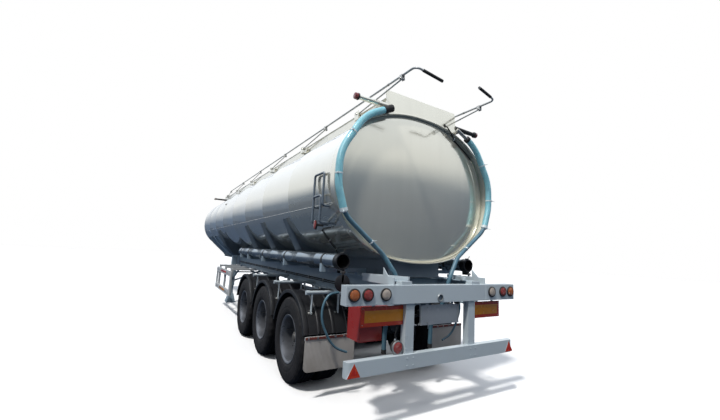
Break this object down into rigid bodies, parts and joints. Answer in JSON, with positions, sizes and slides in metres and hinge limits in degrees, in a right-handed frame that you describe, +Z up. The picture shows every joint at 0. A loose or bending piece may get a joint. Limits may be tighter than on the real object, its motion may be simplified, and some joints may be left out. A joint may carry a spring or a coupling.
{
  "type": "tanker semi-trailer",
  "caption": "Long tank semi-trailer with a rounded oval barrel, twin-tyred axles, folding top handrails, side hose tubes, landing legs and a rear lamp beam.",
  "frame": {"origin": "on the ground under the middle of the outline", "axes": "+X forward towards the kingpin, +Y left, +Z up"},
  "size_m": [12.3068, 2.584, 3.7588],
  "materials": {
    "tank_cream": "gloss",
    "frame_blue_grey": "satin",
    "galvanised": "satin",
    "black_steel": "satin",
    "tyre": "matte",
    "rim_silver": "satin",
    "black_plastic": "matte",
    "flap_white": "matte",
    "hose_teal": "satin",
    "lamp_red": "gloss",
    "marking_red": "satin",
    "case_red": "gloss",
    "tube_grey": "satin",
    "guard_white": "satin"
  },
  "bodies": {
    "trailer": {"tank": "tank_cream", "coaming": "tank_cream", "walkway": "galvanised", "manholes": "galvanised", "chassis": "frame_blue_grey", "tank_saddles": "tank_cream", "coupler": "frame_blue_grey", "leaf_springs": "black_steel", "axles": "black_steel", "mudguards": "black_plastic", "guard_arms": "frame_blue_grey", "mudflaps": "flap_white", "hose_tubes": "tube_grey", "hose_tube_arms": "frame_blue_grey", "landing_gear": "frame_blue_grey", "side_guards": "guard_white", "lamp_beam": "frame_blue_grey", "rear_lamps": "lamp_red", "bumper": "frame_blue_grey", "rear_plates": "marking_red", "extinguisher_box": "case_red", "drain_hoses": "hose_teal", "free_hose_left": "hose_teal", "free_hose_right": "hose_teal", "grab_tubes": "black_steel", "marker_lamps": "black_plastic", "air_tanks": "black_steel", "outlet_pipes": "galvanised", "cables": "black_plastic"},
    "manhole_lid_rear": {"manhole_lid_rear": "galvanised"},
    "manhole_lid_middle": {"manhole_lid_middle": "galvanised"},
    "manhole_lid_front": {"manhole_lid_front": "galvanised"},
    "hose_tube_lid_left": {"hose_tube_lid_left": "black_steel"},
    "hose_tube_lid_right": {"hose_tube_lid_right": "black_steel"},
    "wheels_rear_left": {"tyres_rear_left": "tyre", "rims_rear_left": "rim_silver"},
    "wheels_rear_right": {"tyres_rear_right": "tyre", "rims_rear_right": "rim_silver"},
    "wheels_middle_left": {"tyres_middle_left": "tyre", "rims_middle_left": "rim_silver"},
    "wheels_middle_right": {"tyres_middle_right": "tyre", "rims_middle_right": "rim_silver"},
    "wheels_front_left": {"tyres_front_left": "tyre", "rims_front_left": "rim_silver"},
    "wheels_front_right": {"tyres_front_right": "tyre", "rims_front_right": "rim_silver"},
    "rail_post_left_1": {"rail_post_left_1": "galvanised"},
    "rail_post_left_2": {"rail_post_left_2": "galvanised"},
    "rail_post_left_3": {"rail_post_left_3": "galvanised"},
    "rail_post_left_4": {"rail_post_left_4": "galvanised"},
    "rail_post_left_5": {"rail_post_left_5": "galvanised"},
    "rail_post_left_6": {"rail_post_left_6": "galvanised"},
    "handrail_left": {"handrail_left": "galvanised"},
    "rail_post_right_1": {"rail_post_right_1": "galvanised"},
    "rail_post_right_2": {"rail_post_right_2": "galvanised"},
    "rail_post_right_3": {"rail_post_right_3": "galvanised"},
    "rail_post_right_4": {"rail_post_right_4": "galvanised"},
    "rail_post_right_5": {"rail_post_right_5": "galvanised"},
    "rail_post_right_6": {"rail_post_right_6": "galvanised"},
    "handrail_right": {"handrail_right": "galvanised"}
  },
  "joints": [
    {"name": "manhole_lid_rear_hinge", "type": "hinge", "parent": "trailer", "child": "manhole_lid_rear", "pos_m": [-3.51358, 0, 3.592], "axis": [0, -1, 0], "range_deg": [0, 105]},
    {"name": "manhole_lid_middle_hinge", "type": "hinge", "parent": "trailer", "child": "manhole_lid_middle", "pos_m": [-0.01358, 0, 3.592], "axis": [0, -1, 0], "range_deg": [0, 105]},
    {"name": "manhole_lid_front_hinge", "type": "hinge", "parent": "trailer", "child": "manhole_lid_front", "pos_m": [3.48642, 0, 3.592], "axis": [0, -1, 0], "range_deg": [0, 105]},
    {"name": "hose_tube_lid_left_hinge", "type": "hinge", "parent": "trailer", "child": "hose_tube_lid_left", "pos_m": [-5.37258, 1.01, 1.448], "axis": [0, 1, 0], "range_deg": [0, 180]},
    {"name": "hose_tube_lid_right_hinge", "type": "hinge", "parent": "trailer", "child": "hose_tube_lid_right", "pos_m": [-5.37258, -1.01, 1.448], "axis": [0, 1, 0], "range_deg": [0, 180]},
    {"name": "wheels_rear_left_roll", "type": "hinge", "parent": "trailer", "child": "wheels_rear_left", "pos_m": [-4.35458, 0.945, 0.53], "axis": [0, 1, 0], "continuous": true},
    {"name": "wheels_rear_right_roll", "type": "hinge", "parent": "trailer", "child": "wheels_rear_right", "pos_m": [-4.35458, -0.945, 0.53], "axis": [0, 1, 0], "continuous": true},
    {"name": "wheels_middle_left_roll", "type": "hinge", "parent": "trailer", "child": "wheels_middle_left", "pos_m": [-3.04458, 0.945, 0.53], "axis": [0, 1, 0], "continuous": true},
    {"name": "wheels_middle_right_roll", "type": "hinge", "parent": "trailer", "child": "wheels_middle_right", "pos_m": [-3.04458, -0.945, 0.53], "axis": [0, 1, 0], "continuous": true},
    {"name": "wheels_front_left_roll", "type": "hinge", "parent": "trailer", "child": "wheels_front_left", "pos_m": [-1.73458, 0.945, 0.53], "axis": [0, 1, 0], "continuous": true},
    {"name": "wheels_front_right_roll", "type": "hinge", "parent": "trailer", "child": "wheels_front_right", "pos_m": [-1.73458, -0.945, 0.53], "axis": [0, 1, 0], "continuous": true},
    {"name": "rail_post_left_1_fold", "type": "hinge", "parent": "trailer", "child": "rail_post_left_1", "pos_m": [-4.84658, 0.652, 3.566], "axis": [0, 1, 0], "range_deg": [0, 84.1]},
    {"name": "rail_post_left_2_fold", "type": "hinge", "parent": "trailer", "child": "rail_post_left_2", "pos_m": [-2.76658, 0.652, 3.566], "axis": [0, 1, 0], "range_deg": [0, 84.1]},
    {"name": "rail_post_left_3_fold", "type": "hinge", "parent": "trailer", "child": "rail_post_left_3", "pos_m": [-0.68658, 0.652, 3.566], "axis": [0, 1, 0], "range_deg": [0, 84.1]},
    {"name": "rail_post_left_4_fold", "type": "hinge", "parent": "trailer", "child": "rail_post_left_4", "pos_m": [1.39342, 0.652, 3.566], "axis": [0, 1, 0], "range_deg": [0, 84.1]},
    {"name": "rail_post_left_5_fold", "type": "hinge", "parent": "trailer", "child": "rail_post_left_5", "pos_m": [3.47342, 0.652, 3.566], "axis": [0, 1, 0], "range_deg": [0, 84.1]},
    {"name": "rail_post_left_6_fold", "type": "hinge", "parent": "trailer", "child": "rail_post_left_6", "pos_m": [5.55342, 0.652, 3.566], "axis": [0, 1, 0], "range_deg": [0, 84.1]},
    {"name": "handrail_left_level", "type": "hinge", "parent": "rail_post_left_1", "child": "handrail_left", "pos_m": [-5.84196, 0.652, 3.662], "axis": [0, 1, 0], "range_deg": [-84.1, 0]},
    {"name": "rail_post_right_1_fold", "type": "hinge", "parent": "trailer", "child": "rail_post_right_1", "pos_m": [-4.84658, -0.652, 3.566], "axis": [0, 1, 0], "range_deg": [0, 84.1]},
    {"name": "rail_post_right_2_fold", "type": "hinge", "parent": "trailer", "child": "rail_post_right_2", "pos_m": [-2.76658, -0.652, 3.566], "axis": [0, 1, 0], "range_deg": [0, 84.1]},
    {"name": "rail_post_right_3_fold", "type": "hinge", "parent": "trailer", "child": "rail_post_right_3", "pos_m": [-0.68658, -0.652, 3.566], "axis": [0, 1, 0], "range_deg": [0, 84.1]},
    {"name": "rail_post_right_4_fold", "type": "hinge", "parent": "trailer", "child": "rail_post_right_4", "pos_m": [1.39342, -0.652, 3.566], "axis": [0, 1, 0], "range_deg": [0, 84.1]},
    {"name": "rail_post_right_5_fold", "type": "hinge", "parent": "trailer", "child": "rail_post_right_5", "pos_m": [3.47342, -0.652, 3.566], "axis": [0, 1, 0], "range_deg": [0, 84.1]},
    {"name": "rail_post_right_6_fold", "type": "hinge", "parent": "trailer", "child": "rail_post_right_6", "pos_m": [5.55342, -0.652, 3.566], "axis": [0, 1, 0], "range_deg": [0, 84.1]},
    {"name": "handrail_right_level", "type": "hinge", "parent": "rail_post_right_1", "child": "handrail_right", "pos_m": [-5.84196, -0.652, 3.662], "axis": [0, 1, 0], "range_deg": [-84.1, 0]}
  ],
  "couplings": [
    {"joint": "rail_post_left_2_fold", "follows": "rail_post_left_1_fold", "ratio": 1},
    {"joint": "rail_post_left_3_fold", "follows": "rail_post_left_1_fold", "ratio": 1},
    {"joint": "rail_post_left_4_fold", "follows": "rail_post_left_1_fold", "ratio": 1},
    {"joint": "rail_post_left_5_fold", "follows": "rail_post_left_1_fold", "ratio": 1},
    {"joint": "rail_post_left_6_fold", "follows": "rail_post_left_1_fold", "ratio": 1},
    {"joint": "handrail_left_level", "follows": "rail_post_left_1_fold", "ratio": -1},
    {"joint": "rail_post_right_2_fold", "follows": "rail_post_right_1_fold", "ratio": 1},
    {"joint": "rail_post_right_3_fold", "follows": "rail_post_right_1_fold", "ratio": 1},
    {"joint": "rail_post_right_4_fold", "follows": "rail_post_right_1_fold", "ratio": 1},
    {"joint": "rail_post_right_5_fold", "follows": "rail_post_right_1_fold", "ratio": 1},
    {"joint": "rail_post_right_6_fold", "follows": "rail_post_right_1_fold", "ratio": 1},
    {"joint": "handrail_right_level", "follows": "rail_post_right_1_fold", "ratio": -1}
  ]
}
